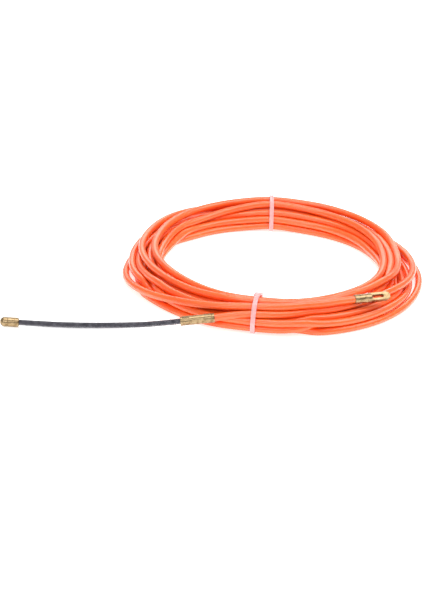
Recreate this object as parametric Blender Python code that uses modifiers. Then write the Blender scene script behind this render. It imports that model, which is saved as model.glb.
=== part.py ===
"""Fish tape: a tied coil of nylon rod with a brass eye on one end and a sprung leader on the other.

The coil lies flat on its underside. +X is the long way, along the leader, and +Z is up.
"""

import math

import bmesh
import bpy
import numpy as np
from mathutils import Matrix, Vector

MM = 0.001

# Rod and coil
ROD_RADIUS = 2.0 * MM
COIL_CENTRE = Vector((28.06, 9.62, 0.0)) * MM     # centre of the winding, seen from above
GAP = 0.3 * MM                                    # between neighbouring solids
COIL_STEPS = 72                                   # sections round the coil
SECTION_SIDES = 16                                # sides of one section

# The winding runs clockwise, seen from above. Each row is one turn, and each pair is the place of the
# rod at one station: the distance from the coil's centre and the height of its middle, in millimetres.
# The stations are front tie, front left, left front, left, back left, back tie, back right, right and
# front right.
STATIONS = (-97.0, -140.0, -163.0, -180.0, -225.0, -267.0, -315.0, -360.0, -408.0)
FRONT_TIE, BACK_TIE = STATIONS[0], STATIONS[5]
TURNS = (
    ((77.0, 12.9), (84.2, 6.5), (86.4, 2.0), (79.4, 2.0), (75.2, 2.0),
     (65.0, 2.0), (71.0, 2.0), (82.2, 2.0), (83.3, 2.0)),
    ((77.0, 2.0), (73.8, 2.0), (71.0, 2.0), (68.9, 2.0), (58.8, 2.0),
     (55.0, 2.0), (59.6, 2.0), (63.2, 2.0), (70.0, 2.0)),
    ((72.5, 2.0), (69.8, 2.0), (66.8, 2.0), (65.2, 2.0), (61.5, 4.6),
     (55.6, 5.8), (59.0, 5.6), (61.2, 5.5), (66.6, 5.0)),
    ((72.9, 5.7), (66.8, 7.4), (65.6, 7.2), (64.8, 5.9), (63.3, 8.3),
     (62.6, 13.0), (64.2, 11.7), (61.7, 9.4), (62.6, 11.0)),
    ((69.0, 12.7), (65.4, 12.2), (66.4, 11.8), (67.7, 11.2), (69.5, 12.4),
     (67.4, 14.0), (71.4, 12.6), (69.3, 8.9), (66.6, 12.4)),
    ((73.0, 13.2), (70.5, 11.2), (72.6, 10.4), (75.3, 9.8), (76.8, 8.8),
     (67.2, 9.5), (70.0, 9.0), (65.5, 9.0), (70.4, 8.4)),
    ((72.0, 9.4), (70.6, 7.0), (69.2, 7.0), (70.4, 7.2), (66.6, 6.0),
     (58.2, 9.4), (62.5, 7.6), (65.0, 5.3), (73.0, 5.0)),
    ((76.0, 9.4), (77.2, 9.0), (77.4, 5.8), (76.2, 6.0), (70.8, 6.4),
     (62.6, 9.4), (65.8, 5.6), (67.3, 2.0), (79.2, 2.4)),
    ((80.5, 2.4), (81.5, 2.0), (77.0, 2.0), (75.6, 2.0), (71.2, 2.2),
     (60.2, 5.8), (67.0, 2.2), (75.0, 2.2), (82.2, 5.6)),
    ((80.9, 5.7), (79.8, 4.8), (74.0, 2.0), (72.4, 2.0), (67.0, 2.0),
     (59.4, 2.0), (63.3, 2.0), (71.2, 2.2), (77.7, 7.6)),
    ((76.8, 5.7), (77.0, 3.4), (80.6, 5.2), (79.0, 5.4), (75.0, 5.4),
     (64.8, 5.8), (73.2, 5.6), (78.8, 7.0), (73.4, 10.4)),
)
LAST_PLACE = (80.0, 9.4)          # the outgoing rod at the front tie
TIE_LIFT = 1.2 * MM               # the coil rises over each tie's strap, which passes under it
TIE_REACH = 20.0                  # degrees either side of the tie

# Free stretches, as points from the coil's centre in millimetres
OUTGOING = ((-9.9, -79.4, 10.6), (-15.5, -79.4, 10.1), (-21.5, -79.5, 9.2), (-26.0, -79.7, 8.3))
EYE_ROD = ((-8.6, -76.8, 14.1), (-1.0, -76.9, 14.2), (8.0, -75.9, 14.6), (18.0, -73.7, 14.9),
           (28.0, -70.1, 15.0), (34.5, -66.8, 15.0), (39.8, -64.4, 14.9))

# Brass fittings: ends from the coil's centre, outside radii, bores and lengths
FERRULE_START = Vector((-29.0, -79.9, 7.7)) * MM
FERRULE_END = Vector((-46.8, -81.4, 5.1)) * MM
FERRULE_RADIUS = 2.5 * MM
COLLAR_LENGTH = 5.0 * MM
FERRULE_ROD_DEPTH = 6.9 * MM      # how far the rod runs into the collar and the sleeve behind it
EYE_ROD_DEPTH = 8.0 * MM
ROD_BORE = 2.15 * MM
SPRING_BORE = 1.65 * MM
EYE_START = Vector((43.5, -62.8, 14.8)) * MM
EYE_END = Vector((62.6, -54.4, 14.2)) * MM
EYE_RADIUS = 2.45 * MM
EYE_SLEEVE = 9.9 * MM
EYE_THICKNESS = 2.8 * MM
EYE_ROLL = math.radians(38.0)     # turn of the eye's flat face about its own length
SLOT_LENGTH = 6.8 * MM
SLOT_WIDTH = 2.0 * MM
TIP_RADIUS = 2.55 * MM
TIP_LENGTH = 9.8 * MM

# Leader: a close-wound spring, here a chain of links that bend at six places
SPRING_RADIUS = 1.5 * MM
LEADER = ((-46.8, -81.4, 5.1), (-54.6, -82.1, 4.0), (-67.8, -83.2, 2.6), (-89.5, -85.3, 1.8),
          (-109.3, -87.1, 1.75), (-130.6, -89.2, 2.65))
LINK_NAMES = ("leader_spring_root", "leader_spring_1", "leader_spring_2", "leader_spring_3",
              "leader_spring_4", "leader_spring_5", "leader_spring_end")
SEATED = 5.0 * MM                 # length of spring inside the ferrule and inside the tip

# Ties
STRAP_WIDTH = 2.4 * MM
STRAP_THICKNESS = 0.9 * MM
STRAP_CLEARANCE = 0.28 * MM
HEAD_SIZE = Vector((4.5, 4.6, 3.2)) * MM          # along the coil, along the strap, out from it

ORANGE = (0.90, 0.17, 0.045)
BRASS = (0.56, 0.41, 0.19)
STEEL = (0.055, 0.055, 0.065)
TIE_WHITE = (0.88, 0.74, 0.76)


def clear_scene():
    for item in list(bpy.data.objects):
        bpy.data.objects.remove(item, do_unlink=True)


def new_collection(name):
    collection = bpy.data.collections.new(name)
    bpy.context.scene.collection.children.link(collection)
    return collection


def material(name, colour, roughness, metallic):
    made = bpy.data.materials.new(name)
    made.use_nodes = True
    shader = made.node_tree.nodes["Principled BSDF"]
    shader.inputs["Base Color"].default_value = (*colour, 1.0)
    shader.inputs["Roughness"].default_value = roughness
    shader.inputs["Metallic"].default_value = metallic
    return made


def add_object(name, mesh, collection, finish=None):
    made = bpy.data.objects.new(name, mesh)
    collection.objects.link(made)
    if finish:
        mesh.materials.append(finish)
    return made


def as_mesh(made, collection, finish=None):
    """Turn a curve object into a closed mesh object of the same name and place."""
    bpy.context.view_layer.update()
    evaluated = made.evaluated_get(bpy.context.evaluated_depsgraph_get())
    mesh = bpy.data.meshes.new_from_object(evaluated)
    cleaned = bmesh.new()
    cleaned.from_mesh(mesh)
    bmesh.ops.remove_doubles(cleaned, verts=cleaned.verts, dist=0.00001)
    bmesh.ops.recalc_face_normals(cleaned, faces=cleaned.faces)
    cleaned.to_mesh(mesh)
    cleaned.free()
    name, place = made.name, made.matrix_world.copy()
    bpy.data.objects.remove(made, do_unlink=True)
    solid = add_object(name, mesh, collection, finish)
    solid.matrix_world = place
    return solid


def apply_boolean(target, cutter, operation="DIFFERENCE"):
    modifier = target.modifiers.new(cutter.name, "BOOLEAN")
    modifier.operation = operation
    modifier.object = cutter
    cutter.hide_render = True
    cutter.display_type = "WIRE"


def smooth_points(points, spacing):
    """Points about one spacing apart on a smooth curve through the given points."""
    given = [Vector(point) for point in points]
    ends = [2 * given[0] - given[1]] + given + [2 * given[-1] - given[-2]]
    result = []
    for before, start, end, after in zip(ends, ends[1:], ends[2:], ends[3:]):
        pieces = max(1, round((end - start).length / spacing))
        for step in range(pieces):
            t = step / pieces
            result.append(0.5 * (2 * start + (end - before) * t
                                 + (2 * before - 5 * start + 4 * end - after) * t * t
                                 + (3 * start - before - 3 * end + after) * t ** 3))
    return result + [given[-1]]


def rod_path(points, start, end, depth):
    """Points along a free stretch of rod, the last of them straight into its fitting."""
    along = (end - start).normalized()
    bend = smooth_points([Vector(point) * MM for point in points] + [start], 5 * MM)
    return bend + [start + along * depth * share for share in (0.35, 0.7, 1.0)]


def tube(name, points, radius, collection, finish=None):
    """A round tube with closed ends along the points, which are from the coil's centre."""
    curve = bpy.data.curves.new(name, "CURVE")
    curve.dimensions = "3D"
    curve.bevel_depth = radius
    curve.bevel_resolution = 2
    curve.use_fill_caps = True
    spline = curve.splines.new("POLY")
    spline.points.add(len(points) - 1)
    for target, point in zip(spline.points, points):
        target.co = (*(point + COIL_CENTRE), 1.0)
    made = bpy.data.objects.new(name, curve)
    collection.objects.link(made)
    if finish:
        curve.materials.append(finish)
    return made


def turned(name, profile, start, end, collection, finish=None, sides=24):
    """A turned solid. The profile's (radius, distance) points run round its section from the far end,
    down the outside, and distance is measured from start towards end."""
    mesh = bpy.data.meshes.new(name)
    shape = bmesh.new()
    corners = [shape.verts.new((radius, 0.0, along)) for radius, along in profile]
    for first, second in zip(corners, corners[1:]):
        shape.edges.new((first, second))
    if profile[0][0] > 0:
        shape.edges.new((corners[-1], corners[0]))
    shape.to_mesh(mesh)
    shape.free()
    made = add_object(name, mesh, collection, finish)
    screw = made.modifiers.new("Turn", "SCREW")
    screw.axis = "Z"
    screw.steps = sides
    screw.render_steps = sides
    screw.use_merge_vertices = True
    screw.merge_threshold = 0.00001
    screw.use_smooth_shade = True
    direction = (end - start).normalized()
    turn = direction.to_track_quat("Z", "Y").to_matrix().to_4x4()
    made.matrix_world = Matrix.Translation(start + COIL_CENTRE) @ turn
    return made


def rise_over_ties(angle):
    """How far the coil is lifted by the straps at one angle, as a smooth hump at each tie."""
    rise = 0.0
    for tie_angle in (FRONT_TIE, BACK_TIE):
        share = abs((angle - tie_angle + 180.0) % 360.0 - 180.0) / TIE_REACH
        if share < 1.0:
            rise += TIE_LIFT * math.cos(math.pi / 2 * share) ** 2
    return rise


def smooth_through(knots, values, at):
    """Cubic through the values, with no overshoot: its slope is the gentler of the two beside each knot."""
    slopes = np.diff(values, axis=0) / np.diff(knots)[:, None]
    gentle = np.where(np.abs(slopes[1:]) < np.abs(slopes[:-1]), slopes[1:], slopes[:-1])
    gentle = np.where(slopes[1:] * slopes[:-1] > 0, gentle, 0.0)
    tangents = np.vstack([slopes[:1], gentle, slopes[-1:]])
    here = min(int(np.searchsorted(knots, at, side="right")) - 1, len(knots) - 2)
    span = knots[here + 1] - knots[here]
    t = (at - knots[here]) / span
    return (values[here] * (2 * t**3 - 3 * t**2 + 1) + tangents[here] * span * (t**3 - 2 * t**2 + t)
            + values[here + 1] * (3 * t**2 - 2 * t**3) + tangents[here + 1] * span * (t**3 - t**2))


def winding_places(angle):
    """Where the coiled rod crosses one angle: each turn's distance from the centre and height, in metres."""
    knots = [360.0 * turn - station for turn in range(len(TURNS)) for station in STATIONS]
    values = [place for turn in TURNS for place in turn]
    knots.append(360.0 * len(TURNS) - STATIONS[0])
    values.append(LAST_PLACE)
    knots, values = np.array(knots), np.array(values)
    places = []
    for turn in range(-1, len(TURNS) + 1):
        wound = 360.0 * turn - angle
        if knots[0] <= wound <= knots[-1]:
            place = smooth_through(knots, values, wound) * MM
            places.append(place + np.array((0.0, rise_over_ties(angle))))
    return places


def hull_section(places, radius):
    """Corners of the many-sided outline round the rods, as (distance from the centre, height)."""
    turn = 2 * math.pi / SECTION_SIDES
    normals = [(math.cos(turn * side), math.sin(turn * side)) for side in range(SECTION_SIDES)]
    reach = [max(x * nx + z * nz for x, z in places) + radius for nx, nz in normals]
    corners = []
    for side, (nx, nz) in enumerate(normals):
        mx, mz = normals[(side + 1) % SECTION_SIDES]
        other = reach[(side + 1) % SECTION_SIDES]
        scale = nx * mz - nz * mx
        corners.append(((reach[side] * mz - other * nz) / scale, (other * nx - reach[side] * mx) / scale))
    return corners


def radial(angle):
    return Vector((math.cos(math.radians(angle)), math.sin(math.radians(angle)), 0.0))


def coil_solid(collection, cutters, finish):
    """The bundle's outer shape: one closed ring lofted through the outline of the rods at each angle."""
    mesh = bpy.data.meshes.new("rod_coil")
    shape = bmesh.new()
    rings = []
    for step in range(COIL_STEPS):
        angle = FRONT_TIE + 360.0 * step / COIL_STEPS
        places = winding_places(angle)
        ring = [shape.verts.new(COIL_CENTRE + radial(angle) * x + Vector((0, 0, z)))
                for x, z in hull_section(places, ROD_RADIUS)]
        rings.append(ring)
    for ring, following in zip(rings, rings[1:] + rings[:1]):
        for side in range(SECTION_SIDES):
            after = (side + 1) % SECTION_SIDES
            shape.faces.new((ring[side], following[side], following[after], ring[after]))
    bmesh.ops.recalc_face_normals(shape, faces=shape.faces)
    shape.to_mesh(mesh)
    shape.free()
    coil = add_object("rod_coil", mesh, collection, finish)
    grown = ROD_RADIUS + GAP
    outgoing = rod_path(OUTGOING, FERRULE_START, FERRULE_END, FERRULE_ROD_DEPTH)
    eye_rod = rod_path(EYE_ROD, EYE_START, EYE_END, EYE_ROD_DEPTH)
    for name, path in (("outgoing_groove", outgoing), ("eye_rod_groove", eye_rod)):
        path[0] = path[0] + (path[0] - path[1]).normalized() * GAP
        apply_boolean(coil, as_mesh(tube(name, path, grown, cutters), cutters))
    for name, start, end, radius in (("ferrule_groove", FERRULE_START, FERRULE_END, FERRULE_RADIUS),
                                     ("eye_groove", EYE_START, EYE_END, EYE_RADIUS)):
        length = (end - start).length + GAP
        profile = [(0.0, length), (radius + GAP, length), (radius + GAP, -GAP), (0.0, -GAP)]
        apply_boolean(coil, turned(name, profile, start, end, cutters))


def free_rods(collection, finish):
    outgoing = rod_path(OUTGOING, FERRULE_START, FERRULE_END, FERRULE_ROD_DEPTH)
    tube("rod_outgoing", outgoing, ROD_RADIUS, collection, finish)
    eye_rod = rod_path(EYE_ROD, EYE_START, EYE_END, EYE_ROD_DEPTH)
    tube("rod_eye_end", eye_rod, ROD_RADIUS, collection, finish)


def ferrule(collection, finish):
    """The collar crimped on the rod, and the sleeve that holds the spring."""
    chamfer = 0.3 * MM
    along = (FERRULE_END - FERRULE_START).normalized()
    outer = FERRULE_RADIUS
    collar = [(ROD_BORE, COLLAR_LENGTH), (outer, COLLAR_LENGTH), (outer, chamfer),
              (outer - chamfer, 0.0), (ROD_BORE, 0.0)]
    turned("rod_collar", collar, FERRULE_START, FERRULE_END, collection, finish)
    start = FERRULE_START + along * (COLLAR_LENGTH + GAP)
    length = (FERRULE_END - start).length
    rod_depth = 1.9 * MM
    sleeve = [(SPRING_BORE, length), (outer - chamfer, length), (outer, length - chamfer),
              (outer, 0.0), (ROD_BORE, 0.0), (ROD_BORE, rod_depth), (SPRING_BORE, rod_depth)]
    turned("leader_ferrule", sleeve, start, FERRULE_END, collection, finish)


def eye(collection, cutters, finish):
    """A sleeve for the rod with a flat, slotted tongue for the pulling line."""
    length = (EYE_END - EYE_START).length
    chamfer = 0.35 * MM
    bore_depth = 8.4 * MM
    profile = [(0.0, EYE_SLEEVE), (EYE_RADIUS, EYE_SLEEVE), (EYE_RADIUS, chamfer),
               (EYE_RADIUS - chamfer, 0.0), (ROD_BORE, 0.0), (ROD_BORE, bore_depth), (0.0, bore_depth)]
    body = turned("eye", profile, EYE_START, EYE_END, collection, finish)

    outline = bpy.data.curves.new("eye_tongue", "CURVE")
    outline.dimensions = "2D"
    outline.fill_mode = "BOTH"
    outline.extrude = EYE_THICKNESS / 2
    tip_round = EYE_RADIUS - 0.15 * MM
    root = EYE_SLEEVE - 1.0 * MM
    edge = [(-tip_round, root), (tip_round, root)]
    for step in range(13):
        turn = math.pi * step / 12
        edge.append((tip_round * math.cos(turn), length - tip_round + tip_round * math.sin(turn)))
    slot = []
    half = SLOT_WIDTH / 2
    first = EYE_SLEEVE + 0.7 * MM + half
    for centre, offset in ((first, math.pi), (first + SLOT_LENGTH - SLOT_WIDTH, 0.0)):
        for step in range(9):
            turn = offset + math.pi * step / 8
            slot.append((half * math.cos(turn), centre + half * math.sin(turn)))
    for corners in (edge, slot):
        spline = outline.splines.new("POLY")
        spline.points.add(len(corners) - 1)
        spline.use_cyclic_u = True
        for target, (x, y) in zip(spline.points, corners):
            target.co = (x, y, 0.0, 1.0)
    flat = bpy.data.objects.new("eye_tongue", outline)
    cutters.objects.link(flat)
    direction = (EYE_END - EYE_START).normalized()
    side = direction.cross(Vector((0, 0, 1))).normalized()
    side = Matrix.Rotation(EYE_ROLL, 3, direction) @ side
    normal = side.cross(direction)
    frame = Matrix((side, direction, normal)).transposed().to_4x4()
    flat.matrix_world = Matrix.Translation(EYE_START + COIL_CENTRE) @ frame
    apply_boolean(body, as_mesh(flat, cutters), "UNION")


def tip(collection, finish, start, end):
    """The bullet-shaped nose on the spring's far end."""
    nose = 2.1 * MM
    chamfer = 0.45 * MM
    bore_depth = SEATED + GAP
    profile = []
    for step in range(7):
        turn = math.radians(90 - 15 * step)
        profile.append((TIP_RADIUS * math.cos(turn) if step else 0.0,
                        TIP_LENGTH - nose + nose * math.sin(turn)))
    profile += [(TIP_RADIUS, 5.9 * MM), (TIP_RADIUS - 0.2 * MM, 5.7 * MM), (TIP_RADIUS, 5.5 * MM),
                (TIP_RADIUS, chamfer), (TIP_RADIUS - chamfer, 0.0), (SPRING_BORE, 0.0),
                (SPRING_BORE, bore_depth), (0.0, bore_depth)]
    turned("leader_tip", profile, start, end, collection, finish)


def leader(collection, spring_finish, brass_finish):
    """The spring as a chain of round-ended links, each hinged halfway between its neighbours' ends."""
    path = smooth_points([Vector(point) * MM for point in LEADER], 0.5 * MM)
    reach = [0.0]
    for first, second in zip(path, path[1:]):
        reach.append(reach[-1] + (second - first).length)

    def at(distance):
        here = min(max(1, sum(value <= distance for value in reach)), len(path) - 1)
        share = (distance - reach[here - 1]) / (reach[here] - reach[here - 1])
        return path[here - 1].lerp(path[here], share)

    count = len(LINK_NAMES)
    joints = [at(reach[-1] * step / count) for step in range(count + 1)]
    radius = SPRING_RADIUS
    for index, name in enumerate(LINK_NAMES):
        start, end = joints[index], joints[index + 1]
        direction = (end - start).normalized()
        low = GAP / 2 if index else -SEATED
        high = (end - start).length + (-GAP / 2 if index < count - 1 else SEATED)
        profile = [(0.0, high)]
        for step in range(1, 5):
            turn = math.radians(90 - 22.5 * step)
            profile.append((radius * math.cos(turn), high - radius + radius * math.sin(turn)))
        for step in range(4):
            turn = math.radians(-22.5 * step)
            profile.append((radius * math.cos(turn), low + radius + radius * math.sin(turn)))
        profile.append((0.0, low))
        turned(name, profile, start, start + direction, collection, spring_finish, sides=16)
    last = (joints[-1] - joints[-2]).normalized()
    tip(collection, brass_finish, joints[-1], joints[-1] + last)


def tie(name, angle, head_side, collection, cutters, finish):
    """A cable tie round the bundle: a flat strap in one closed loop, and its head on the given side."""
    places = winding_places(angle)
    inner = hull_section(places, ROD_RADIUS + STRAP_CLEARANCE)
    outer = hull_section(places, ROD_RADIUS + STRAP_CLEARANCE + STRAP_THICKNESS)
    loop = bpy.data.curves.new(name, "CURVE")
    loop.dimensions = "2D"
    loop.fill_mode = "BOTH"
    loop.extrude = STRAP_WIDTH / 2
    for corners in (outer, inner):
        spline = loop.splines.new("POLY")
        spline.points.add(len(corners) - 1)
        spline.use_cyclic_u = True
        for target, (x, z) in zip(spline.points, corners):
            target.co = (x, z, 0.0, 1.0)
    made = bpy.data.objects.new(name, loop)
    collection.objects.link(made)
    outward = radial(angle)
    along = Vector((0, 0, 1)).cross(outward)
    frame = Matrix((outward, Vector((0, 0, 1)), -along)).transposed().to_4x4()
    made.matrix_world = Matrix.Translation(COIL_CENTRE) @ frame
    strap = as_mesh(made, collection, finish)

    start, end = (Vector((*outer[side], 0.0)) for side in (head_side, head_side + 1))
    tangent = (end - start).normalized()
    normal = Vector((tangent.y, -tangent.x, 0.0))
    seat = (start + end) / 2 + normal * (HEAD_SIZE.z / 2 - STRAP_THICKNESS * 0.6)
    bpy.ops.mesh.primitive_cube_add(size=1.0)
    head = bpy.context.object
    head.name = name + "_head_block"
    for other in list(head.users_collection):
        other.objects.unlink(head)
    cutters.objects.link(head)
    stand = Matrix((Vector((0, 0, 1)), tangent, normal)).transposed().to_4x4()
    head.data.transform(Matrix.Diagonal((*HEAD_SIZE, 1.0)))
    head.matrix_world = strap.matrix_world @ Matrix.Translation(seat) @ stand
    apply_boolean(strap, head, "UNION")


def build():
    clear_scene()
    parts = new_collection("fish_tape")
    cutters = new_collection("cutters")
    nylon = material("nylon_rod", ORANGE, 0.35, 0.0)
    brass = material("brass", BRASS, 0.28, 1.0)
    steel = material("spring_steel", STEEL, 0.45, 1.0)
    tie_nylon = material("tie_nylon", TIE_WHITE, 0.4, 0.0)
    coil_solid(parts, cutters, nylon)
    free_rods(parts, nylon)
    ferrule(parts, brass)
    eye(parts, cutters, brass)
    leader(parts, steel, brass)
    tie("front_tie", FRONT_TIE, 7, parts, cutters, tie_nylon)
    tie("back_tie", BACK_TIE, -1, parts, cutters, tie_nylon)


build()
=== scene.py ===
import math

import bmesh
import bpy
import numpy as np
from mathutils import Matrix, Quaternion, Vector


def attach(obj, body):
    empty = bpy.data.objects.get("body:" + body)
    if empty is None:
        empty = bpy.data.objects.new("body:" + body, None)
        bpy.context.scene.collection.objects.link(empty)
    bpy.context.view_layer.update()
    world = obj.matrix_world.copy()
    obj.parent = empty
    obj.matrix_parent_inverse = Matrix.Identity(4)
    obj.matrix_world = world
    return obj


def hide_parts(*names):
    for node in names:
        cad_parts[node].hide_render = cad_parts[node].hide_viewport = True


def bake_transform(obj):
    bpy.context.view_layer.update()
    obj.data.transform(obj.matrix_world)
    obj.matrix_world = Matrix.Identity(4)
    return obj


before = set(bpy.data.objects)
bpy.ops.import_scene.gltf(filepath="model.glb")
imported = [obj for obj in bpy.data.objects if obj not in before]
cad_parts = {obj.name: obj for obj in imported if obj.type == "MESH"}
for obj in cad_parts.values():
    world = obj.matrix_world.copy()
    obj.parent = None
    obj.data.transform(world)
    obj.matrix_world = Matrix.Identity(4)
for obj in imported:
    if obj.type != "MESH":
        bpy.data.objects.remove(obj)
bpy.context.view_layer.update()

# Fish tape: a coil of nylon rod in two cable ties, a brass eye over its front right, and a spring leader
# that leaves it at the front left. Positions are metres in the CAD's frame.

MM = 0.001

# ---- The rod's route, as in part.py -------------------------------------------------------------------
ROD_RADIUS = 2.0 * MM
COIL_CENTRE = Vector((28.06, 9.62, 0.0)) * MM
STATIONS = (-97.0, -140.0, -163.0, -180.0, -225.0, -267.0, -315.0, -360.0, -408.0)
FRONT_TIE, BACK_TIE = STATIONS[0], STATIONS[5]
FRONT_STRAP = FRONT_TIE + 0.8                     # the front strap sits just past its station
TURNS = (
    ((77.0, 12.9), (84.2, 6.5), (86.4, 2.0), (79.4, 2.0), (75.2, 2.0),
     (65.0, 2.0), (71.0, 2.0), (82.2, 2.0), (83.3, 2.0)),
    ((77.0, 2.0), (73.8, 2.0), (71.0, 2.0), (68.9, 2.0), (58.8, 2.0),
     (55.0, 2.0), (59.6, 2.0), (63.2, 2.0), (70.0, 2.0)),
    ((72.5, 2.0), (69.8, 2.0), (66.8, 2.0), (65.2, 2.0), (61.5, 4.6),
     (55.6, 5.8), (59.0, 5.6), (61.2, 5.5), (66.6, 5.0)),
    ((72.9, 5.7), (66.8, 7.4), (65.6, 7.2), (64.8, 5.9), (63.3, 8.3),
     (62.6, 13.0), (64.2, 11.7), (61.7, 9.4), (62.6, 11.0)),
    ((69.0, 12.7), (65.4, 12.2), (66.4, 11.8), (67.7, 11.2), (69.5, 12.4),
     (67.4, 14.0), (71.4, 12.6), (69.3, 8.9), (66.6, 12.4)),
    ((73.0, 13.2), (70.5, 11.2), (72.6, 10.4), (75.3, 9.8), (76.8, 8.8),
     (67.2, 9.5), (70.0, 9.0), (65.5, 9.0), (70.4, 8.4)),
    ((72.0, 9.4), (70.6, 7.0), (69.2, 7.0), (70.4, 7.2), (66.6, 6.0),
     (58.2, 9.4), (62.5, 7.6), (65.0, 5.3), (73.0, 5.0)),
    ((76.0, 9.4), (77.2, 9.0), (77.4, 5.8), (76.2, 6.0), (70.8, 6.4),
     (62.6, 9.4), (65.8, 5.6), (67.3, 2.0), (79.2, 2.4)),
    ((80.5, 2.4), (81.5, 2.0), (77.0, 2.0), (75.6, 2.0), (71.2, 2.2),
     (60.2, 5.8), (67.0, 2.2), (75.0, 2.2), (82.2, 5.6)),
    ((80.9, 5.7), (79.8, 4.8), (74.0, 2.0), (72.4, 2.0), (67.0, 2.0),
     (59.4, 2.0), (63.3, 2.0), (71.2, 2.2), (77.7, 7.6)),
    ((76.8, 5.7), (77.0, 3.4), (80.6, 5.2), (79.0, 5.4), (75.0, 5.4),
     (64.8, 5.8), (73.2, 5.6), (78.8, 7.0), (73.4, 10.4)),
)
LAST_PLACE = (80.0, 9.4)
TIE_LIFT = 1.2
TIE_REACH = 20.0
ANGLE_STEP = 2.5
FIRST_ANGLE = FRONT_TIE + 13 * ANGLE_STEP         # where the winding begins, beside the eye
FIRST_PLACE = (75.3, 14.9)
STEPS_PER_TURN = round(360.0 / ANGLE_STEP)
OUTGOING = ((-15.5, -79.4, 10.1), (-21.5, -79.5, 9.2), (-26.0, -79.7, 8.3))
EYE_ROD = ((40.3, -64.3, 14.9), (36.4, -66.1, 14.95))

# ---- Fittings, as in part.py --------------------------------------------------------------------------
FERRULE_START = Vector((-29.0, -79.9, 7.7)) * MM
FERRULE_END = Vector((-46.8, -81.4, 5.1)) * MM
FERRULE_RADIUS = 2.5 * MM
COLLAR_LENGTH = 5.0 * MM
ROD_BORE = 2.04 * MM
EYE_START = Vector((43.5, -62.8, 14.8)) * MM
EYE_END = Vector((62.6, -54.4, 14.2)) * MM
EYE_RADIUS = 2.45 * MM
EYE_SLEEVE = 9.9 * MM
EYE_THICKNESS = 2.8 * MM
EYE_ROLL = math.radians(38.0)
SLOT_LENGTH = 6.8 * MM
SLOT_WIDTH = 1.6 * MM
TIP_RADIUS = 2.55 * MM
TIP_LENGTH = 9.8 * MM
LEADER = ((-46.8, -81.4, 5.1), (-54.6, -82.1, 4.0), (-67.8, -83.2, 2.6), (-89.5, -85.3, 1.8),
          (-109.3, -87.1, 1.75), (-130.6, -89.2, 2.65))
LEADER_BODIES = ("coil", "leader_1", "leader_2", "leader_3", "leader_4", "leader_5", "leader_nose")
LEADER_NODES = ("leader_spring_root", "leader_spring_1", "leader_spring_2", "leader_spring_3",
                "leader_spring_4", "leader_spring_5", "leader_spring_end")
SEATED = 4.6 * MM                 # length of spring inside the ferrule and inside the tip
SPRING_RADIUS = 1.62 * MM         # outside
WIRE_RADIUS = 0.30 * MM
SPRING_PITCH = 0.64 * MM
STRAP_WIDTH = 2.4 * MM
STRAP_THICKNESS = 0.95 * MM
STRAP_CLEARANCE = 0.12 * MM
ROD_IN_EYE = 7.5 * MM             # how far the rod runs on inside each fitting
ROD_IN_FERRULE = 6.8 * MM
INSIDE_STEP = 3.5 * MM
EYE_BORE_DEPTH = 8.2 * MM
TIP_BORE_DEPTH = 5.2 * MM
SPRING_GAP = 0.06 * MM            # between the spring and the tip's bore

# ---- Cable tie heads, in mm: size, then the middle's offset from the head's ---------------------------
HEAD_BLOCK = ((4.5, 4.6, 3.0), (0.0, 0.0, 0.0))
HEAD_SLOT = ((2.7, 1.7, 2.2), (0.0, 0.6, 1.4))
STRAP_END = ((2.3, 0.9, 2.4), (0.0, 0.75, 0.7))

# ---- Camera and light ---------------------------------------------------------------------------------
CAMERA_PLACE = Vector((0.0, -0.858, 0.398))       # from the coil's centre
CAMERA_AIM = Vector((-0.0316, -0.0598, 0.008))
CAMERA_ROLL = 2.445
CAMERA_LENS = 100.0
SKY_STRENGTH = 0.5
FLOOR_GLOW = 0.62


# ---- Mesh helpers -------------------------------------------------------------------------------------
def new_object(name, mesh, finish=None):
    made = bpy.data.objects.new(name, mesh)
    bpy.context.scene.collection.objects.link(made)
    if finish:
        mesh.materials.append(finish)
    return made


def mesh_from(name, vertices, faces, finish, sharp=40.0):
    mesh = bpy.data.meshes.new(name)
    mesh.from_pydata([tuple(vertex) for vertex in vertices], [], faces)
    shape = bmesh.new()
    shape.from_mesh(mesh)
    bmesh.ops.remove_doubles(shape, verts=shape.verts, dist=0.000002)
    bmesh.ops.recalc_face_normals(shape, faces=shape.faces)
    shape.to_mesh(mesh)
    shape.free()
    mesh.shade_smooth()
    mesh.set_sharp_from_angle(angle=math.radians(sharp))
    return new_object(name, mesh, finish)


def lathe(name, profile, place, finish, sides=64, change=None):
    """A turned solid from a closed (radius, along) profile. change(points) may press marks into it."""
    rings = np.array(profile)
    turn = np.linspace(0.0, 2 * math.pi, sides, endpoint=False)
    points = np.stack([rings[:, :1] * np.cos(turn), rings[:, :1] * np.sin(turn),
                       np.repeat(rings[:, 1:], sides, axis=1)], axis=-1).reshape(-1, 3)
    if change:
        points = change(points)
    count = len(profile)
    faces = []
    for ring in range(count):
        after = (ring + 1) % count
        if profile[ring][0] == 0.0 and profile[after][0] == 0.0:
            continue
        for side in range(sides):
            beside = (side + 1) % sides
            corners = (ring * sides + side, ring * sides + beside,
                       after * sides + beside, after * sides + side)
            if profile[ring][0] == 0.0:
                corners = (corners[0], corners[2], corners[3])
            elif profile[after][0] == 0.0:
                corners = (corners[0], corners[1], corners[2])
            faces.append(corners)
    made = mesh_from(name, points, faces, finish, 32.0)
    made.matrix_world = place
    return made


def along_profile(corners, spacing):
    """The same profile with extra points along its long runs, so that marks can be pressed into it."""
    result = []
    for start, end in zip(corners, corners[1:] + corners[:1]):
        pieces = max(1, round(math.dist(start, end) / spacing))
        result += [tuple(np.array(start) + (np.array(end) - start) * step / pieces) for step in range(pieces)]
    return result


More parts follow.
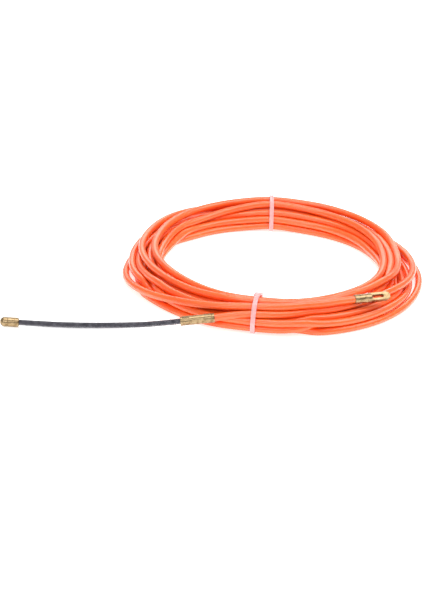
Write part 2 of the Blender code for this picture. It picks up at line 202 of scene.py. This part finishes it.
def round_corner(centre_radius, centre_along, radius, start, end, steps=5):
    """Points of a rounded edge on a turned profile, from one angle to another, in degrees."""
    return [(centre_radius + radius * math.cos(math.radians(start + (end - start) * step / steps)),
             centre_along + radius * math.sin(math.radians(start + (end - start) * step / steps)))
            for step in range(steps + 1)]


def placed(start, end, roll=0.0):
    """The frame of a piece that starts at start, with its Z towards end and its X level before the roll."""
    axis = (end - start).normalized()
    side = axis.cross(Vector((0, 0, 1))).normalized()
    side = Matrix.Rotation(roll, 3, axis) @ side
    turn = Matrix((side, axis.cross(side), axis)).transposed().to_4x4()
    return Matrix.Translation(start + COIL_CENTRE) @ turn


def smooth_points(points, spacing):
    """Points about one spacing apart on a smooth curve through the given points."""
    given = [Vector(point) for point in points]
    ends = [2 * given[0] - given[1]] + given + [2 * given[-1] - given[-2]]
    result = []
    for before, start, end, after in zip(ends, ends[1:], ends[2:], ends[3:]):
        pieces = max(1, round((end - start).length / spacing))
        for step in range(pieces):
            t = step / pieces
            result.append(0.5 * (2 * start + (end - before) * t
                                 + (2 * before - 5 * start + 4 * end - after) * t * t
                                 + (3 * start - before - 3 * end + after) * t ** 3))
    return result + [given[-1]]


# ---- Camera -------------------------------------------------------------------------------------------
def make_camera():
    data = bpy.data.cameras.new("camera")
    data.lens = CAMERA_LENS
    camera = bpy.data.objects.new("camera", data)
    bpy.context.scene.collection.objects.link(camera)
    camera.location = COIL_CENTRE + CAMERA_PLACE
    aim = COIL_CENTRE + CAMERA_AIM
    level = (aim - camera.location).to_track_quat("-Z", "Y")
    camera.rotation_mode = "QUATERNION"
    camera.rotation_quaternion = level @ Quaternion((0, 0, 1), math.radians(CAMERA_ROLL))
    bpy.context.scene.camera = camera


# ---- Materials ----------------------------------------------------------------------------------------
def shader_material(name, colour, roughness, metallic=0.0):
    made = bpy.data.materials.new(name)
    made.use_nodes = True
    shader = made.node_tree.nodes["Principled BSDF"]
    shader.inputs["Base Color"].default_value = (*colour, 1.0)
    shader.inputs["Roughness"].default_value = roughness
    shader.inputs["Metallic"].default_value = metallic
    return made, shader


def noise(material, scale, detail=2.0, stretch=(1.0, 1.0, 1.0)):
    """A noise texture in the object's own space; scale is in cells a metre."""
    nodes, links = material.node_tree.nodes, material.node_tree.links
    place = nodes.new("ShaderNodeTexCoord")
    mapping = nodes.new("ShaderNodeMapping")
    mapping.inputs["Scale"].default_value = stretch
    texture = nodes.new("ShaderNodeTexNoise")
    texture.inputs["Scale"].default_value = scale
    texture.inputs["Detail"].default_value = detail
    links.new(place.outputs["Object"], mapping.inputs["Vector"])
    links.new(mapping.outputs["Vector"], texture.inputs["Vector"])
    return texture.outputs["Fac"]


def ramp(material, factor, stops):
    """A colour ramp over a factor; stops are (position, colour)."""
    node = material.node_tree.nodes.new("ShaderNodeValToRGB")
    while len(node.color_ramp.elements) < len(stops):
        node.color_ramp.elements.new(0.5)
    for element, (position, colour) in zip(node.color_ramp.elements, stops):
        element.position = position
        element.color = (*colour, 1.0)
    material.node_tree.links.new(factor, node.inputs["Fac"])
    return node.outputs["Color"]


def bump(material, shader, height, strength, distance):
    node = material.node_tree.nodes.new("ShaderNodeBump")
    node.inputs["Strength"].default_value = strength
    node.inputs["Distance"].default_value = distance
    material.node_tree.links.new(height, node.inputs["Height"])
    material.node_tree.links.new(node.outputs["Normal"], shader.inputs["Normal"])


def nylon_material():
    """Clear-coloured orange monofilament: glossy, a little translucent, faintly uneven."""
    made, shader = shader_material("orange_nylon", (1.0, 0.13, 0.02), 0.25)
    colour = ramp(made, noise(made, 60.0), ((0.3, (0.97, 0.118, 0.012)), (0.7, (1.0, 0.150, 0.022))))
    made.node_tree.links.new(colour, shader.inputs["Base Color"])
    shader.inputs["Subsurface Weight"].default_value = 0.3
    shader.inputs["Subsurface Radius"].default_value = (1.0, 0.22, 0.08)
    shader.inputs["Subsurface Scale"].default_value = 0.0020
    shader.inputs["IOR"].default_value = 1.58
    shader.inputs["Coat Weight"].default_value = 0.35
    shader.inputs["Coat Roughness"].default_value = 0.16
    bump(made, shader, noise(made, 900.0, 3.0), 0.10, 0.00006)
    return made


def brass_material():
    """Drawn brass with handling marks: fine turning lines and slightly darker patches."""
    made, shader = shader_material("worn_brass", (0.39, 0.29, 0.15), 0.30, 1.0)
    patches = noise(made, 420.0, 4.0)
    colour = ramp(made, patches, ((0.34, (0.23, 0.15, 0.07)), (0.46, (0.35, 0.245, 0.13)),
                                  (0.74, (0.43, 0.32, 0.185))))
    made.node_tree.links.new(colour, shader.inputs["Base Color"])
    rough = ramp(made, noise(made, 700.0, 3.0), ((0.3, (0.20,) * 3), (0.8, (0.42,) * 3)))
    made.node_tree.links.new(rough, shader.inputs["Roughness"])
    bump(made, shader, noise(made, 1600.0, 4.0, (1.0, 1.0, 3.0)), 0.22, 0.00005)
    return made


def steel_material():
    """Dark oil-blacked spring wire."""
    made, shader = shader_material("spring_wire", (0.10, 0.10, 0.12), 0.42, 0.55)
    colour = ramp(made, noise(made, 500.0), ((0.3, (0.062, 0.060, 0.074)), (0.75, (0.16, 0.155, 0.18))))
    made.node_tree.links.new(colour, shader.inputs["Base Color"])
    bump(made, shader, noise(made, 3000.0), 0.1, 0.00003)
    return made


def tie_material():
    """Pale nylon that lets some light through; the pink of the orange rod glowing through it is painted into
    its colour.
    """
    # Painted glow: the pink base and ramp colours stand in for the orange rod's light showing through the
    # pale strap
    made, shader = shader_material("tie_nylon", (0.82, 0.46, 0.45), 0.36)
    colour = ramp(made, noise(made, 300.0), ((0.3, (0.74, 0.40, 0.40)), (0.7, (0.80, 0.46, 0.46))))
    made.node_tree.links.new(colour, shader.inputs["Base Color"])
    shader.inputs["Subsurface Weight"].default_value = 0.5
    shader.inputs["Subsurface Radius"].default_value = (1.0, 0.5, 0.4)
    shader.inputs["Subsurface Scale"].default_value = 0.0015
    bump(made, shader, noise(made, 1500.0), 0.1, 0.00004)
    return made


# ---- Rod ----------------------------------------------------------------------------------------------
def smooth_through(knots, values, at):
    """Cubic through the values, with no overshoot: its slope is the gentler of the two beside each knot."""
    slopes = np.diff(values, axis=0) / np.diff(knots)[:, None]
    gentle = np.where(np.abs(slopes[1:]) < np.abs(slopes[:-1]), slopes[1:], slopes[:-1])
    gentle = np.where(slopes[1:] * slopes[:-1] > 0, gentle, 0.0)
    tangents = np.vstack([slopes[:1], gentle, slopes[-1:]])
    here = np.clip(np.searchsorted(knots, at, side="right") - 1, 0, len(knots) - 2)
    span = (knots[here + 1] - knots[here])[:, None]
    t = (at - knots[here])[:, None] / span
    return (values[here] * (2 * t**3 - 3 * t**2 + 1) + tangents[here] * span * (t**3 - 2 * t**2 + t)
            + values[here + 1] * (3 * t**2 - 2 * t**3) + tangents[here + 1] * span * (t**3 - t**2))


def rise_over_ties(wound):
    """How far the straps lift the coil at each angle wound, as a smooth hump at each tie."""
    rise = np.zeros_like(wound)
    for tie_angle in (FRONT_TIE, BACK_TIE):
        share = np.abs((wound + tie_angle + 180.0) % 360.0 - 180.0) / TIE_REACH
        rise += TIE_LIFT * np.where(share < 1.0, np.cos(math.pi / 2 * np.minimum(share, 1.0)) ** 2, 0.0)
    return rise


def settle(places, lowest, rounds=240):
    """Push crowded turns a rod's width apart, keep each one smooth, and rest the lowest on the ground."""
    width = 2 * ROD_RADIUS / MM + 0.03
    target = places.copy()
    rows = -(-len(places) // STEPS_PER_TURN)
    for _ in range(rounds):
        grid = np.full((rows * STEPS_PER_TURN, 2), 0.0)
        grid[len(places):] = (1000.0, 1000.0)
        grid[:len(places)] = places
        grid = grid.reshape(rows, STEPS_PER_TURN, 2)
        apart = grid[:, None] - grid[None]
        distance = np.linalg.norm(apart, axis=-1) + np.eye(rows)[:, :, None] * 2 * width
        crowding = np.clip(width - distance, 0.0, None)
        push = (apart / distance[..., None] * crowding[..., None]).sum(axis=1) * 0.3
        places = places + push.reshape(-1, 2)[:len(places)]
        places[:, 1] = np.maximum(places[:, 1], lowest)
        even = places.copy()
        even[1:-1] = (places[:-2] + 2 * places[1:-1] + places[2:]) / 4
        places = places + (even - places) * 0.4 + (target - places) * 0.01
        places[:, 1] = np.maximum(places[:, 1], lowest)
    return places


def wind_coil():
    """(angle wound, place) at each step: the place is the distance from the centre and the height, in mm."""
    knots = [-FIRST_ANGLE] + [360.0 * turn - station for turn in range(len(TURNS)) for station in STATIONS]
    values = [FIRST_PLACE] + [place for turn in TURNS for place in turn]
    knots.append(360.0 * len(TURNS) - STATIONS[0])
    values.append(LAST_PLACE)
    wound = np.arange(knots[0], knots[-1] + 0.01, ANGLE_STEP)
    places = smooth_through(np.array(knots), np.array(values), wound)
    rise = rise_over_ties(wound)
    places[:, 1] += rise
    return wound, settle(places, ROD_RADIUS / MM + rise)


def rod_centreline(wound, places):
    """The whole rod, from inside the eye to inside the ferrule."""
    angle = np.radians(-wound)
    coil = np.stack([places[:, 0] * np.cos(angle), places[:, 0] * np.sin(angle), places[:, 1]], axis=1) * MM
    eye_axis = (EYE_END - EYE_START).normalized()
    ferrule_axis = (FERRULE_END - FERRULE_START).normalized()
    points = [EYE_START + eye_axis * ROD_IN_EYE, EYE_START + eye_axis * INSIDE_STEP, EYE_START]
    points += [Vector(point) * MM for point in EYE_ROD] + [Vector(point) for point in coil]
    points += [Vector(point) * MM for point in OUTGOING]
    points += [FERRULE_START + ferrule_axis * reach for reach in (0.0, INSIDE_STEP, ROD_IN_FERRULE)]
    return [point + COIL_CENTRE for point in points]


def make_rod(points, finish):
    curve = bpy.data.curves.new("rod", "CURVE")
    curve.dimensions = "3D"
    curve.bevel_depth = ROD_RADIUS
    curve.bevel_resolution = 5
    curve.use_fill_caps = True
    curve.materials.append(finish)
    spline = curve.splines.new("POLY")
    spline.points.add(len(points) - 1)
    for target, point in zip(spline.points, points):
        target.co = (*point, 1.0)
    spline.use_smooth = True
    return new_object("rod", curve)


# ---- Leader -------------------------------------------------------------------------------------------
def leader_path():
    """Fine points along the spring's middle, and the distance along it at each."""
    points = smooth_points([Vector(point) * MM for point in LEADER], 0.4 * MM)
    start = (points[0] - points[1]).normalized()
    end = (points[-1] - points[-2]).normalized()
    before = [points[0] + start * SEATED * share for share in (1.0, 0.5)]
    after = [points[-1] + end * SEATED * share for share in (0.5, 1.0)]
    points = np.array([point + COIL_CENTRE for point in before + points + after])
    reach = np.concatenate([[0.0], np.cumsum(np.linalg.norm(np.diff(points, axis=0), axis=1))])
    return points, reach


def path_at(points, reach, at):
    return np.stack([np.interp(at, reach, points[:, axis]) for axis in range(3)], axis=-1)


def spring_stretch(name, points, reach, low, high, finish):
    """A stretch of the close-wound spring as one closed wire, from distance low to distance high."""
    a_turn, sides = 18, 6
    steps = max(2, round((high - low) / SPRING_PITCH * a_turn))
    at = np.linspace(low, high, steps + 1)
    middle = path_at(points, reach, at)
    ahead = path_at(points, reach, at + 0.5 * MM) - path_at(points, reach, at - 0.5 * MM)
    ahead /= np.linalg.norm(ahead, axis=1)[:, None]
    across = np.cross(ahead, (0.0, 0.0, 1.0))
    across /= np.linalg.norm(across, axis=1)[:, None]
    above = np.cross(across, ahead)
    turn = (2 * math.pi * at / SPRING_PITCH)[:, None]
    outward = across * np.cos(turn) + above * np.sin(turn)
    centre = middle + outward * (SPRING_RADIUS - WIRE_RADIUS)
    rings = []
    for side in range(sides):
        angle = 2 * math.pi * side / sides
        rings.append(centre + (outward * math.cos(angle) + ahead * math.sin(angle)) * WIRE_RADIUS)
    vertices = np.stack(rings, axis=1).reshape(-1, 3)
    faces = [(ring * sides + side, ring * sides + (side + 1) % sides,
              (ring + 1) * sides + (side + 1) % sides, (ring + 1) * sides + side)
             for ring in range(steps) for side in range(sides)]
    faces += [tuple(range(sides)), tuple(range(steps * sides, (steps + 1) * sides))]
    return mesh_from(name, vertices, faces, finish, 80.0)


def make_leader(steel, brass):
    points, reach = leader_path()
    count = len(LEADER_NODES)
    link = (reach[-1] - 2 * SEATED) / count
    cuts = [0.0] + [SEATED + link * (step + 0.5) for step in range(count)] + [reach[-1]]
    for index in range(count + 1):
        low, high = cuts[index], cuts[index + 1]
        name = f"spring_{index}"
        stretch = spring_stretch(name, points, reach, low, high, steel)
        if index < count:
            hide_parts(LEADER_NODES[index])
        if index in (0, count):
            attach(stretch, LEADER_BODIES[0 if index == 0 else -1])
            continue
        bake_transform(stretch)
    end = path_at(points, reach, np.array((reach[-1] - SEATED - link, reach[-1] - SEATED)))
    return make_tip(Vector(end[0]) - COIL_CENTRE, Vector(end[1]) - COIL_CENTRE, brass)


def make_tip(before, start, brass):
    """The bullet nose: chamfered at the spring's end, with one fine turned line before its rounded head."""
    nose = 2.3 * MM
    groove, line = 5.7 * MM, 0.16 * MM
    soft = 0.45 * MM
    bore = SPRING_RADIUS + SPRING_GAP
    profile = [(0.0, TIP_LENGTH)]
    for degrees in range(9, 91, 9):
        turn = math.radians(degrees)
        profile.append((TIP_RADIUS * math.sin(turn), TIP_LENGTH - nose + nose * math.cos(turn)))
    profile += [(TIP_RADIUS, groove + line), (TIP_RADIUS - 0.13 * MM, groove), (TIP_RADIUS, groove - line)]
    profile += round_corner(TIP_RADIUS - soft, soft, soft, 0.0, -75.0)
    profile += [(bore, 0.03 * MM), (bore, TIP_BORE_DEPTH), (0.0, TIP_BORE_DEPTH)]
    made = lathe("tip", profile, placed(start, start + (start - before)), brass)
    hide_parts("leader_tip")
    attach(made, "leader_nose")
    return made


# ---- Ferrule ------------------------------------------------------------------------------------------
def press_flats(points, flats):
    """Press crimp marks into a turned solid: each is (low, high, direction in degrees, radius left)."""
    points = points.copy()
    for low, high, direction, left in flats:
        turn = math.radians(direction)
        toward = points[:, 0] * math.cos(turn) + points[:, 1] * math.sin(turn)
        inside = (points[:, 2] > low) & (points[:, 2] < high) & (toward > left)
        outer = np.hypot(points[:, 0], points[:, 1]) > ROD_BORE + 0.2 * MM
        excess = np.where(inside & outer, toward - left, 0.0)
        points[:, 0] -= excess * math.cos(turn)
        points[:, 1] -= excess * math.sin(turn)
    return points


def make_ferrule(brass):
    outer = FERRULE_RADIUS
    place = placed(FERRULE_START, FERRULE_END)
    soft = 0.3 * MM
    collar = [(ROD_BORE, COLLAR_LENGTH)]
    collar += round_corner(outer - 0.12 * MM, COLLAR_LENGTH - 0.12 * MM, 0.12 * MM, 90.0, 0.0, 3)
    collar += [(outer, 1.6 * MM), (outer - 0.1 * MM, 1.45 * MM), (outer, 1.3 * MM)]
    collar += round_corner(outer - soft, soft, soft, 0.0, -90.0, 4)
    collar += [(ROD_BORE, 0.0)]
    collar = lathe("collar", collar, place, brass)
    length = (FERRULE_END - FERRULE_START).length
    low = COLLAR_LENGTH + 0.05 * MM
    rod_end = low + 1.9 * MM
    sleeve = [(SPRING_RADIUS + 0.05 * MM, length)]
    sleeve += round_corner(outer - soft, length - soft, soft, 90.0, 0.0, 4)
    sleeve += [(outer, low), (ROD_BORE, low), (ROD_BORE, rod_end), (SPRING_RADIUS + 0.05 * MM, rod_end)]
    flats = []
    for direction in (20.0, 140.0, 260.0):
        flats.append((low + 0.6 * MM, low + 7.0 * MM, direction + 40.0, 2.26 * MM))
        flats.append((length - 4.6 * MM, length - 1.0 * MM, direction, 2.22 * MM))
    sleeve = lathe("ferrule", along_profile(sleeve, 0.2 * MM), place, brass,
                   change=lambda points: press_flats(points, flats))
    for piece, node in ((collar, "rod_collar"), (sleeve, "leader_ferrule")):
        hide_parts(node)
        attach(piece, "coil")
    return collar, sleeve


# ---- Eye ----------------------------------------------------------------------------------------------
def apply_modifiers(target):
    bpy.context.view_layer.update()
    evaluated = target.evaluated_get(bpy.context.evaluated_depsgraph_get())
    mesh = bpy.data.meshes.new_from_object(evaluated)
    target.modifiers.clear()
    target.data = mesh


def make_tongue(place, length):
    """The flat tongue with its slot, as a closed solid."""
    half, soft_edge = SLOT_WIDTH / 2, EYE_RADIUS - 0.12 * MM
    outline = bpy.data.curves.new("tongue_outline", "CURVE")
    outline.dimensions = "2D"
    outline.fill_mode = "BOTH"
    outline.extrude = EYE_THICKNESS / 2 - 0.25 * MM
    outline.bevel_depth = 0.25 * MM
    outline.bevel_resolution = 2
    outline.offset = -0.25 * MM
    edge = [(-soft_edge, EYE_SLEEVE - 1.2 * MM), (soft_edge, EYE_SLEEVE - 1.2 * MM)]
    for step in range(25):
        turn = math.pi * step / 24
        edge.append((soft_edge * math.cos(turn), length - soft_edge + soft_edge * math.sin(turn)))
    slot = []
    first = EYE_SLEEVE + 0.3 * MM + half
    for centre, offset in ((first, math.pi), (first + SLOT_LENGTH - SLOT_WIDTH, 0.0)):
        for step in range(13):
            turn = offset + math.pi * step / 12
            slot.append((half * math.cos(turn), centre + half * math.sin(turn)))
    for corners in (edge, slot):
        spline = outline.splines.new("POLY")
        spline.points.add(len(corners) - 1)
        spline.use_cyclic_u = True
        for target, (x, y) in zip(spline.points, corners):
            target.co = (x, y, 0.0, 1.0)
    flat = new_object("tongue", outline)
    flat.matrix_world = place @ Matrix(((1, 0, 0, 0), (0, 0, -1, 0), (0, 1, 0, 0), (0, 0, 0, 1)))
    bpy.context.view_layer.update()
    mesh = bpy.data.meshes.new_from_object(flat.evaluated_get(bpy.context.evaluated_depsgraph_get()))
    shape = bmesh.new()
    shape.from_mesh(mesh)
    bmesh.ops.remove_doubles(shape, verts=shape.verts, dist=0.000005)
    bmesh.ops.recalc_face_normals(shape, faces=shape.faces)
    shape.to_mesh(mesh)
    shape.free()
    tongue = new_object("tongue_solid", mesh)
    tongue.matrix_world = flat.matrix_world
    bpy.data.objects.remove(flat, do_unlink=True)
    return tongue


def make_eye(brass):
    """A crimped sleeve with a flat, slotted tongue, made of one piece of brass."""
    length = (EYE_END - EYE_START).length
    place = placed(EYE_START, EYE_END, EYE_ROLL)
    soft = 0.35 * MM
    sleeve = [(0.0, EYE_SLEEVE)]
    sleeve += round_corner(EYE_RADIUS - 0.3 * MM, EYE_SLEEVE - 0.3 * MM, 0.3 * MM, 90.0, 0.0, 4)
    sleeve += round_corner(EYE_RADIUS - soft, soft, soft, 0.0, -90.0, 4)
    sleeve += [(ROD_BORE, 0.0), (ROD_BORE, EYE_BORE_DEPTH), (0.0, EYE_BORE_DEPTH)]
    flats = [(6.2 * MM, 7.6 * MM, direction, 2.2 * MM) for direction in (90.0, 210.0, 330.0)]
    body = lathe("eye_piece", along_profile(sleeve, 0.2 * MM), place, brass,
                 change=lambda points: press_flats(points, flats))
    tongue = make_tongue(place, length)
    join = body.modifiers.new("join", "BOOLEAN")
    join.operation = "UNION"
    join.object = tongue
    apply_modifiers(body)
    bpy.data.objects.remove(tongue, do_unlink=True)
    body.data.shade_smooth()
    body.data.set_sharp_from_angle(angle=math.radians(30.0))
    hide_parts("eye")
    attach(body, "coil")
    return body


# ---- Ties ---------------------------------------------------------------------------------------------
def strap_loop(rods, offset, count=120):
    """Points and outward directions round a bundle of rods: a tight loop at one offset from their middles."""
    loop = []
    for step in range(count):
        turn = 2 * math.pi * step / count
        outward = np.array((math.cos(turn), math.sin(turn)))
        loop.append((rods[np.argmax(rods @ outward)] + outward * offset, outward))
    return loop


def make_tie(name, node, angle, wound, places, head_turn, finish):
    """A cable tie: a strap with softened edges round the rods, and its head with the strap's cut end."""
    here = np.abs((wound + angle + 180.0) % 360.0 - 180.0) < ANGLE_STEP / 2
    rods = places[here] * MM
    radial = Vector((math.cos(math.radians(angle)), math.sin(math.radians(angle)), 0.0))
    upward = Vector((0, 0, 1))
    side = upward.cross(radial)
    inner = ROD_RADIUS + STRAP_CLEARANCE
    loop = strap_loop(rods, inner + STRAP_THICKNESS / 2)
    half, thick, soft = STRAP_WIDTH / 2, STRAP_THICKNESS / 2, 0.22 * MM
    section = []
    for x_sign, y_sign, first in ((1, 1, 0), (-1, 1, 90), (-1, -1, 180), (1, -1, 270)):
        for step in range(4):
            turn = math.radians(first + 30 * step)
            section.append((x_sign * (half - soft) + soft * math.cos(turn),
                            y_sign * (thick - soft) + soft * math.sin(turn)))
    section.insert(4, (half * 0.45, thick))
    section.insert(5, (half * 0.38, thick - 0.12 * MM))
    section.insert(6, (-half * 0.38, thick - 0.12 * MM))
    section.insert(7, (-half * 0.45, thick))
    vertices = []
    for point, outward in loop:
        base = radial * point[0] + upward * point[1]
        out = radial * outward[0] + upward * outward[1]
        vertices += [base + side * x + out * y + COIL_CENTRE for x, y in section]
    size, count = len(section), len(loop)
    faces = [(ring * size + corner, ring * size + (corner + 1) % size,
              (ring + 1) % count * size + (corner + 1) % size, (ring + 1) % count * size + corner)
             for ring in range(count) for corner in range(size)]
    strap = mesh_from(name, vertices, faces, finish, 50.0)
    add_tie_head(strap, name, rods, radial, upward, side, head_turn, finish)
    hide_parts(node)
    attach(strap, "coil")
    return strap


def softened_block(name, size, offset, softening=0.0, segments=1):
    """A block's mesh, from sizes in mm, with its edges rounded where softening is above 0."""
    mesh = bpy.data.meshes.new(name)
    shape = bmesh.new()
    bmesh.ops.create_cube(shape, size=1.0)
    bmesh.ops.scale(shape, vec=Vector(size) * MM, verts=shape.verts)
    bmesh.ops.translate(shape, vec=Vector(offset) * MM, verts=shape.verts)
    if softening:
        bmesh.ops.bevel(shape, geom=shape.edges[:], offset=softening * MM, segments=segments,
                        affect="EDGES", profile=0.5)
    shape.to_mesh(mesh)
    shape.free()
    return mesh


def add_tie_head(strap, name, rods, radial, upward, side, head_turn, finish):
    """The ratchet head on the strap, with softened edges, its slot, and the trimmed end in the slot."""
    turn = math.radians(head_turn)
    outward = np.array((math.cos(turn), math.sin(turn)))
    seat = rods[np.argmax(rods @ outward)] + outward * (ROD_RADIUS + STRAP_CLEARANCE + 1.6 * MM)
    centre = radial * seat[0] + upward * seat[1] + COIL_CENTRE
    out = radial * outward[0] + upward * outward[1]
    along = side.cross(out)
    stand = Matrix((side, along, out)).transposed().to_4x4()
    stand.translation = centre
    head = new_object(name + "_head", softened_block(name + "_head", *HEAD_BLOCK, 0.5, 4), finish)
    head.matrix_world = stand
    cutter = new_object(name + "_slot", softened_block(name + "_slot", *HEAD_SLOT))
    cutter.matrix_world = stand
    cut = head.modifiers.new("slot", "BOOLEAN")
    cut.object = cutter
    apply_modifiers(head)
    stub = new_object(name + "_end", softened_block(name + "_end", *STRAP_END, 0.12, 2), finish)
    stub.matrix_world = stand
    for piece in (head, stub):
        join = strap.modifiers.new(piece.name, "BOOLEAN")
        join.operation = "UNION"
        join.object = piece
    apply_modifiers(strap)
    strap.data.shade_smooth()
    strap.data.set_sharp_from_angle(angle=math.radians(45.0))
    for piece in (head, stub, cutter):
        bpy.data.objects.remove(piece, do_unlink=True)


# ---- Floor and light ----------------------------------------------------------------------------------
def make_floor():
    mesh = bpy.data.meshes.new("floor")
    shape = bmesh.new()
    bmesh.ops.create_grid(shape, x_segments=1, y_segments=1, size=6.0)
    shape.to_mesh(mesh)
    shape.free()
    finish, shader = shader_material("white_floor", (0.95, 0.95, 0.95), 0.9)
    shader.inputs["Emission Color"].default_value = (1.0, 1.0, 1.0, 1.0)
    shader.inputs["Emission Strength"].default_value = FLOOR_GLOW
    floor = new_object("floor", mesh, finish)
    floor.location.z = -0.0002


def area_light(name, place, size, power):
    data = bpy.data.lights.new(name, "AREA")
    data.shape = "RECTANGLE"
    data.size, data.size_y = size
    data.energy = power
    light = bpy.data.objects.new(name, data)
    bpy.context.scene.collection.objects.link(light)
    light.location = place
    light.rotation_mode = "QUATERNION"
    light.rotation_quaternion = (COIL_CENTRE - light.location).to_track_quat("-Z", "Y")


def make_light():
    world = bpy.data.worlds.new("studio")
    world.use_nodes = True
    sky = world.node_tree.nodes["Background"]
    sky.inputs["Color"].default_value = (1.0, 1.0, 1.0, 1.0)
    sky.inputs["Strength"].default_value = SKY_STRENGTH
    bpy.context.scene.world = world
    area_light("top", Vector((0.25, 0.0, 0.9)), (0.7, 1.5), 9.5)
    area_light("back", Vector((0.0, 1.0, 0.6)), (1.2, 0.45), 3.4)
    area_light("front", Vector((-0.3, -0.95, 0.75)), (0.9, 0.4), 3.0)
    bpy.context.scene.view_settings.view_transform = "Standard"


# ---- Making -------------------------------------------------------------------------------------------
make_camera()
nylon, brass, steel, tie_nylon = nylon_material(), brass_material(), steel_material(), tie_material()
wound, places = wind_coil()
route = rod_centreline(wound, places)
rod = make_rod(route, nylon)
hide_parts("rod_coil", "rod_outgoing", "rod_eye_end")
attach(rod, "coil")
eye = make_eye(brass)
collar, ferrule = make_ferrule(brass)
make_leader(steel, brass)
make_tie("tie_front", "front_tie", FRONT_STRAP, wound, places, 180.0, tie_nylon)
make_tie("tie_back", "back_tie", BACK_TIE, wound, places, 0.0, tie_nylon)
make_floor()
make_light()
